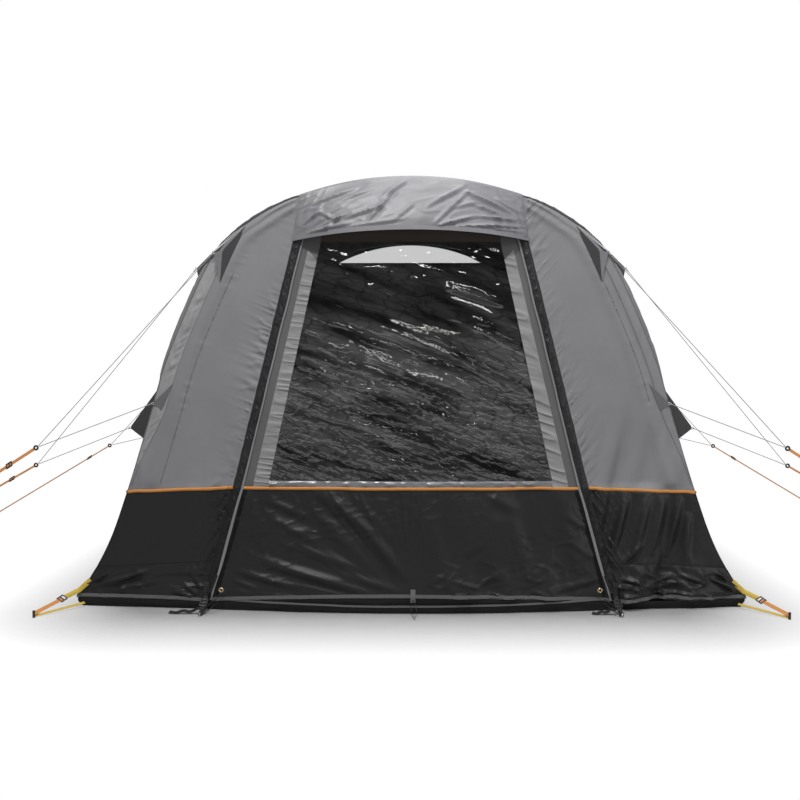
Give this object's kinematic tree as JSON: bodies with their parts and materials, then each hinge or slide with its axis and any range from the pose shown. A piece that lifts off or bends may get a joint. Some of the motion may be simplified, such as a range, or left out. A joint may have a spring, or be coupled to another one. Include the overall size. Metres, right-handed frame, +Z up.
{
  "type": "drive-away awning",
  "caption": "Inflatable tunnel-shaped awning with a rain hood, a zipped front with a clear window, dark skirts, guy lines and a rear connection tunnel for a camper van.",
  "frame": {"origin": "middle of the bounding box on the ground, midway between the front pegs and the tunnel's end", "axes": "+X to the right seen from the front and across the guy lines, -Y out through the front door, +Z up from the ground"},
  "size_m": [6.394, 3.2009, 2.2175],
  "materials": {
    "wall_fabric": "matt woven polyester, mid grey",
    "hood_fabric": "slightly shiny coated polyester, light grey",
    "roof_fabric": "matt woven polyester, charcoal",
    "skirt_fabric": "matt coated polyester, black",
    "window_film": "clear flexible film, glossy and wrinkled, dark inside",
    "air_beam": "coated air tube in a fabric sleeve",
    "webbing": "woven webbing, yellow to orange",
    "guy_line": "round cord, pale grey, with orange webbing"
  },
  "bodies": {
    "root": {"corner_strap_left": "webbing", "corner_strap_right": "webbing", "door_panel": "wall_fabric", "door_skirt": "skirt_fabric", "door_window": "window_film", "front_beam": "air_beam", "front_header": "wall_fabric", "front_skirt_left": "skirt_fabric", "front_skirt_right": "skirt_fabric", "front_wall_left": "wall_fabric", "front_wall_right": "wall_fabric", "ground_flap": "skirt_fabric", "guy_lower_front_left": "guy_line", "guy_lower_front_right": "guy_line", "guy_lower_middle_left": "guy_line", "guy_lower_middle_right": "guy_line", "guy_lower_rear_left": "guy_line", "guy_lower_rear_right": "guy_line", "guy_upper_front_left": "guy_line", "guy_upper_front_right": "guy_line", "guy_upper_middle_left": "guy_line", "guy_upper_middle_right": "guy_line", "guy_upper_rear_left": "guy_line", "guy_upper_rear_right": "guy_line", "hood": "hood_fabric", "middle_beam": "air_beam", "rail_strip": "webbing", "rear_beam": "air_beam", "rear_door": "wall_fabric", "rear_skirt_left": "skirt_fabric", "rear_skirt_right": "skirt_fabric", "rear_wall": "wall_fabric", "roof": "roof_fabric", "side_skirt_left": "skirt_fabric", "side_skirt_right": "skirt_fabric", "side_wall_left": "wall_fabric", "side_wall_right": "wall_fabric", "tunnel_roof": "roof_fabric", "tunnel_side_left": "wall_fabric", "tunnel_side_right": "wall_fabric", "tunnel_skirt_left": "skirt_fabric", "tunnel_skirt_right": "skirt_fabric", "zip_strip_left": "skirt_fabric", "zip_strip_right": "skirt_fabric"}
  },
  "joints": []
}
